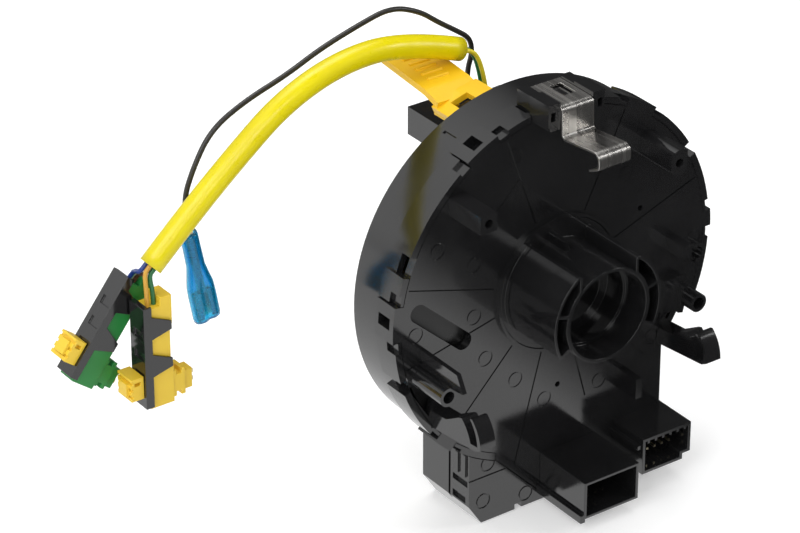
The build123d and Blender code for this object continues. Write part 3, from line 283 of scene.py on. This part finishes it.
# joined flats, a narrow bevel on the sharp edges and shading that follows the large faces
def breakEdges(node, width):
    for polygon in node.data.polygons:
        polygon.use_smooth = True
    weld = node.modifiers.new("weld", "WELD")
    weld.merge_threshold = edgeStyle["weldWithin"] * mm
    flats = node.modifiers.new("wholeFlats", "DECIMATE")
    flats.decimate_type = "DISSOLVE"
    flats.angle_limit = math.radians(edgeStyle["flatWithin"])
    bevel = node.modifiers.new("brokenEdge", "BEVEL")
    bevel.width = width * mm
    bevel.segments = edgeStyle["steps"]
    bevel.limit_method = "ANGLE"
    bevel.angle_limit = math.radians(edgeStyle["sharpFrom"])
    bevel.use_clamp_overlap = True
    bevel.miter_outer = "MITER_SHARP"  # keeps every large face whole
    shading = node.modifiers.new("evenShading", "WEIGHTED_NORMAL")
    shading.weight = edgeStyle["shadingWeight"]
    shading.keep_sharp = False


for name, width in edges.items():
    breakEdges(nodes[name], width)
print("edges broken:", len(edges))


leadStyle = {
    "order": 3,
    "steps": 10,
    "roundness": 5,
}


# a round lead along its route, in millimetres
def lead(name, route, diameter, finish, body="rotor"):
    curve = bpy.data.curves.new(name, "CURVE")
    curve.dimensions = "3D"
    spline = curve.splines.new("NURBS")
    spline.points.add(len(route) - 1)
    for point, place in zip(spline.points, route):
        point.co = (place[0] * mm, place[1] * mm, place[2] * mm, 1)
    spline.use_endpoint_u = True
    spline.order_u = leadStyle["order"]
    curve.resolution_u = leadStyle["steps"]
    curve.bevel_depth = diameter * mm / 2
    curve.bevel_resolution = leadStyle["roundness"]
    curve.use_fill_caps = True
    curve.materials.append(finishes[finish])
    piece = bpy.data.objects.new(name, curve)
    bpy.context.scene.collection.objects.link(piece)
    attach(piece, body)
    return piece


harness = {
    "diameter": 6.3,
    "length": 109.3,
    "wall": 0.6,
    "roundness": 8,
    "route": [(-3.2, 38, 52.2), (-21, 38, 59), (-40, 38, 59.3), (-58, 38, 53), (-73, 38, 41.5),
              (-86.2, 38, 30.5), (-98.4, 38, 19.3)],
}


# the sleeve is a tube with a wall, open at both cut ends
def buildSleeve():
    line = lead("sleeveLine", harness["route"], harness["diameter"], "sleeve_yellow")
    line.data.use_fill_caps = False
    line.data.bevel_resolution = harness["roundness"]
    skin = bpy.data.meshes.new_from_object(line)
    line.data.bevel_depth = 0
    middle = bpy.data.meshes.new_from_object(line)
    path = [tuple(v.co) for v in middle.vertices]
    bpy.data.objects.remove(line)
    for polygon in skin.polygons:
        polygon.use_smooth = True
    piece = bpy.data.objects.new("harnessSleeve", skin)
    bpy.context.scene.collection.objects.link(piece)
    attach(piece, "rotor")
    wall = piece.modifiers.new("sleeveWall", "SOLIDIFY")
    wall.thickness = harness["wall"] * mm
    wall.offset = -1
    return piece, path


sleeve, sleevePath = buildSleeve()
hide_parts("harness_sleeve")

horn = {
    "diameter": 1.4,
    "length": 131.8,
    "route": [(3.6, 43.5, 35.8), (3.2, 43.5, 41.6), (5.0, 43.5, 46.6), (4.2, 43.5, 51.2), (-0.4, 43.5, 54.6),
              (-6.2, 43.5, 58.6), (-12, 43.5, 63.2), (-21, 43.5, 66.8), (-31, 43.5, 64.6), (-43, 43.5, 61.2),
              (-53, 43.5, 57), (-66, 43.5, 53.2), (-76, 43.5, 48.2), (-81.5, 43.5, 39.5),
              (-85.15, 43.5, 29.95), (-83.6, 43.5, 21.6)],
}
hornLead = lead("hornLead", horn["route"], horn["diameter"], "wire_dark")
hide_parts("horn_wire")

shortWires = {
    "diameter": 1.2,
    "spacing": 0.85,  # from the sleeve's middle line
    "intoSleeve": 6.0,
    "intoPlug": 1.0,
}

# feed wires from the tower, which run on into the sleeve
feedLeads = {
    "feedYellow": ("feed_wire_yellow", "wire_yellow",
                   [(5.2, 37.1, 35.8), (4.2, 37.1, 42.6), (1.5, 37.1, 50.4), (-3.2, 37.1, 52.2),
                    (-8.8, 37.1, 54.34)]),
    "feedGreen": ("feed_wire_green", "wire_green",
                  [(5.2, 38.9, 35.8), (4.2, 38.9, 42.6), (1.5, 38.9, 50.4), (-3.2, 38.9, 52.2),
                   (-8.8, 38.9, 54.34)]),
}
for name, (node, finish, route) in feedLeads.items():
    piece = lead(name, route, shortWires["diameter"], finish)
    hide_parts(node)
print("leads laid")


# a point on a plug, from its own corner: across, up and back
def plugSpot(plug, across, up, back):
    tilt = math.radians(plug["tilt"])
    x, y, z = plug["origin"]
    right = across * math.cos(tilt) + up * math.sin(tilt)
    rise = up * math.cos(tilt) - across * math.sin(tilt)
    return (x + right, y + back, z + rise)


yellowPlug = {"origin": (-103.2, 35.0, 9.9), "tilt": 0.0}
greenPlug = {"origin": (-102.8, 42.3, 15.8), "tilt": 38.0}
sleeveEnd = Vector(harness["route"][-1])
sleeveWay = (sleeveEnd - Vector(harness["route"][-2])).normalized()
sleeveSide = Vector((sleeveWay.z, 0, -sleeveWay.x))


# a point beside the sleeve's middle line, ahead of its lower end or, with a minus, inside it
def leaving(side, back, reach):
    spacing = shortWires["spacing"]
    return tuple(sleeveEnd + sleeveWay * reach + sleeveSide * side * spacing + Vector((0, back * spacing, 0)))


# node, finish, place in the sleeve with the reach beyond it, plug, place on the plug, height of the last bend
tailLeads = {
    "blueLead": ("blue_wire", "wire_blue", (1, 1, 2.9), greenPlug, (2.9, 2.3), 2.9),
    "brownLead": ("brown_wire", "wire_brown", (-1, 1, 2.9), greenPlug, (4.7, 2.3), 2.9),
    "amberLead": ("amber_wire", "wire_amber", (1, -1, 2.4), yellowPlug, (2.9, 2.15), 3.8),
    "greenLead": ("green_wire", "wire_green", (-1, -1, 2.2), yellowPlug, (4.7, 2.15), 3.6),
}
for name, (node, finish, (side, back, reach), plug, (across, depth), rise) in tailLeads.items():
    inside = leaving(side, back, -shortWires["intoSleeve"])
    above = plugSpot(plug, across, rise - shortWires["intoPlug"], depth)
    plugged = plugSpot(plug, across, -shortWires["intoPlug"], depth)
    route = [inside, leaving(side, back, 0), leaving(side, back, reach), above, plugged]
    piece = lead(name, route, shortWires["diameter"], finish)
    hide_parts(node)


# insulator of the horn terminal: round neck, then a flat two-lobed barrel with an open mouth
insulator = {
    "wall": 0.6,
    # down from the top, width, depth and depth of the crease between the lobes
    "rings": [(0.0, 4.3, 4.3, 0.0), (0.8, 4.6, 4.6, 0.0), (5.0, 4.7, 4.6, 0.0), (10.0, 4.9, 4.6, 0.05),
              (13.0, 5.8, 4.5, 0.2), (16.0, 7.2, 4.4, 0.5), (19.0, 7.5, 4.3, 0.6), (25.6, 7.5, 4.2, 0.6),
              (26.5, 7.3, 4.0, 0.55)],
    "around": 48,
    "flatFrom": 5.2,  # a wider ring has flattened sides
    "flattened": 0.75,
    "creaseWidth": 0.9,
    "creaseFrom": 0.3,
}
hornTop = Vector(horn["route"][-1])
hornWay = (hornTop - Vector(horn["route"][-2])).normalized()
hornAcross = Vector((-hornWay.z, 0, hornWay.x))


def ringPoints(drop, width, depth, lobe, inset):
    points = []
    for i in range(insulator["around"]):
        angle = 2 * math.pi * i / insulator["around"]
        c, s = math.cos(angle), math.sin(angle)
        power = 1.0 if width < insulator["flatFrom"] else insulator["flattened"]
        across = math.copysign(abs(c) ** power, c) * (width / 2 - inset)
        deep = math.copysign(abs(s) ** power, s) * (depth / 2 - inset)
        pinch = lobe * math.exp(-(across / insulator["creaseWidth"]) ** 2)
        deep -= math.copysign(pinch, deep) if abs(deep) > insulator["creaseFrom"] else 0
        points.append((hornTop + hornWay * drop + hornAcross * across + Vector((0, deep, 0))) * mm)
    return points


def buildInsulator():
    form = bmesh.new()
    shells = []
    for inset in (0.0, insulator["wall"]):
        rings = [[form.verts.new(p) for p in ringPoints(*ring, inset)] for ring in insulator["rings"]]
        for upper, lower in zip(rings, rings[1:]):
            for i in range(len(upper)):
                j = (i + 1) % len(upper)
                face = (upper[i], upper[j], lower[j], lower[i])
                form.faces.new(face if inset == 0.0 else face[::-1])
        shells.append(rings)
    outer, inner = shells
    for end in (0, -1):
        for i in range(insulator["around"]):
            j = (i + 1) % insulator["around"]
            form.faces.new((outer[end][i], outer[end][j], inner[end][j], inner[end][i]))
    bmesh.ops.recalc_face_normals(form, faces=form.faces)
    mesh = bpy.data.meshes.new("hornInsulator")
    form.to_mesh(mesh)
    form.free()
    for polygon in mesh.polygons:
        polygon.use_smooth = True
    mesh.materials.append(finishes["blue_cover"])
    piece = bpy.data.objects.new("hornInsulator", mesh)
    bpy.context.scene.collection.objects.link(piece)
    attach(piece, "rotor")
    return piece


hornInsulator = buildInsulator()
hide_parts("horn_terminal_cover")
print("harness dressed")


# floor, world and lamps
studio = {
    "floorLevel": -0.0655,
    "floorSize": 6.0,
    "floorColour": (0.86, 0.86, 0.86),
    "floorRough": 0.7,
    # strength of the painted reflection glowing from the floor: left of the object, right of it, and where it
    # changes over
    "paintedReflectionLeft": 1.0,
    "paintedReflectionRight": 0.05,
    "paintedReflectionEdge": (0.03, 0.055),
    "skyBright": 1.0,
    "skyDim": 0.05,
    "skyTowards": (-0.55, 0.6, 0.58),
    "skyEdge": (0.4, 0.9),
    "plainSky": 0.3,
    "backdropNear": 0.3,
    "backdropFar": 1.0,
    "backdropReach": (0.2, 1.0),
}


# painted reflection: for glossy rays only, the floor glows white on the left of the object and dark on its
# right
def paintedReflectionCard(tree):
    place = tree.nodes.new("ShaderNodeNewGeometry")
    parts = tree.nodes.new("ShaderNodeSeparateXYZ")
    tree.links.new(place.outputs["Position"], parts.inputs["Vector"])
    reflectionGlow = tree.nodes.new("ShaderNodeEmission")
    shown = ramp(tree, parts.outputs["X"], studio["paintedReflectionLeft"], studio["paintedReflectionRight"],
                 *studio["paintedReflectionEdge"])
    tree.links.new(shown, reflectionGlow.inputs["Strength"])
    return reflectionGlow.outputs["Emission"]


floorMesh = bpy.data.meshes.new("floor")
half = studio["floorSize"] / 2
level = studio["floorLevel"]
floorCorners = [(-half, -half, level), (half, -half, level), (half, half, level), (-half, half, level)]
floorMesh.from_pydata(floorCorners, [], [(0, 1, 2, 3)])
floor = bpy.data.objects.new("floor", floorMesh)
bpy.context.scene.collection.objects.link(floor)
floorMaterial, floorTree, floorShader = newMaterial("paleFloor")
floorPath = floorTree.nodes.new("ShaderNodeLightPath")
floorShader.inputs["Base Color"].default_value = (*studio["floorColour"], 1)
floorShader.inputs["Roughness"].default_value = studio["floorRough"]
# glossy rays see the glowing painted reflection instead of the lit floor
floorMix = floorTree.nodes.new("ShaderNodeMixShader")
floorTree.links.new(floorPath.outputs["Is Glossy Ray"], floorMix.inputs["Fac"])
floorTree.links.new(floorShader.outputs["BSDF"], floorMix.inputs[1])
floorTree.links.new(paintedReflectionCard(floorTree), floorMix.inputs[2])
floorSpot = floorTree.nodes.new("ShaderNodeNewGeometry")
away = floorTree.nodes.new("ShaderNodeVectorMath")
away.operation = "LENGTH"
floorTree.links.new(floorSpot.outputs["Position"], away.inputs[0])
whiten = ramp(floorTree, away.outputs["Value"], studio["backdropNear"], studio["backdropFar"],
              *studio["backdropReach"])
seenWhite = floorTree.nodes.new("ShaderNodeMath")
seenWhite.operation = "MULTIPLY"
floorTree.links.new(whiten, seenWhite.inputs[0])
floorTree.links.new(floorPath.outputs["Is Camera Ray"], seenWhite.inputs[1])
backdropGlow = floorTree.nodes.new("ShaderNodeEmission")
floorTree.links.new(seenWhite.outputs["Value"], backdropGlow.inputs["Strength"])
floorSum = floorTree.nodes.new("ShaderNodeAddShader")
floorTree.links.new(floorMix.outputs["Shader"], floorSum.inputs[0])
floorTree.links.new(backdropGlow.outputs["Emission"], floorSum.inputs[1])
floorTree.links.new(floorSum.outputs["Shader"], floorTree.nodes["Material Output"].inputs["Surface"])
floorMesh.materials.append(floorMaterial)

world = bpy.data.worlds.new("studio")
bpy.context.scene.world = world
world.use_nodes = True
worldTree = world.node_tree
background = worldTree.nodes["Background"]
background.inputs["Color"].default_value = (1, 1, 1, 1)
worldPlace = worldTree.nodes.new("ShaderNodeTexCoord")
towards = worldTree.nodes.new("ShaderNodeVectorMath")
towards.operation = "DOT_PRODUCT"
towards.inputs[1].default_value = Vector(studio["skyTowards"]).normalized()
worldTree.links.new(worldPlace.outputs["Generated"], towards.inputs[0])
sky = ramp(worldTree, towards.outputs["Value"], studio["skyDim"], studio["skyBright"],
           *studio["skyEdge"])
lightPath = worldTree.nodes.new("ShaderNodeLightPath")
glossed = worldTree.nodes.new("ShaderNodeMix")
worldTree.links.new(lightPath.outputs["Is Glossy Ray"], glossed.inputs["Factor"])
glossed.inputs["A"].default_value = studio["plainSky"]
worldTree.links.new(sky, glossed.inputs["B"])
direct = worldTree.nodes.new("ShaderNodeMath")
direct.operation = "MAXIMUM"
worldTree.links.new(lightPath.outputs["Is Camera Ray"], direct.inputs[0])
worldTree.links.new(lightPath.outputs["Is Transmission Ray"], direct.inputs[1])
seen = worldTree.nodes.new("ShaderNodeMix")
worldTree.links.new(direct.outputs["Value"], seen.inputs["Factor"])
worldTree.links.new(glossed.outputs["Result"], seen.inputs["A"])
seen.inputs["B"].default_value = 1.0
worldTree.links.new(seen.outputs["Result"], background.inputs["Strength"])

lamps = {
    "leftSoftbox": {"place": (-1.0, -0.3, 0.75), "aim": (0, 0, 0), "size": (0.9, 0.9), "power": 9},
    "topSoftbox": {"place": (0.1, 0.3, 1.3), "aim": (0, 0, 0), "size": (1.0, 0.8), "power": 9},
    "rightSoftbox": {"place": (1.0, -0.7, 0.6), "aim": (0, 0, 0), "size": (0.3, 0.5), "power": 4},
    "frontFill": {"place": (-0.5, -1.3, 0.9), "aim": (0, 0, 0), "size": (0.6, 0.6), "power": 5},
}
for name, lamp in lamps.items():
    data = bpy.data.lights.new(name, "AREA")
    data.shape = "RECTANGLE"
    data.size, data.size_y = lamp["size"]
    data.energy = lamp["power"]
    light = bpy.data.objects.new(name, data)
    light.location = lamp["place"]
    light.rotation_euler = (Vector(lamp["aim"]) - Vector(lamp["place"])).to_track_quat("-Z", "Y").to_euler()
    bpy.context.scene.collection.objects.link(light)
print("studio lit")
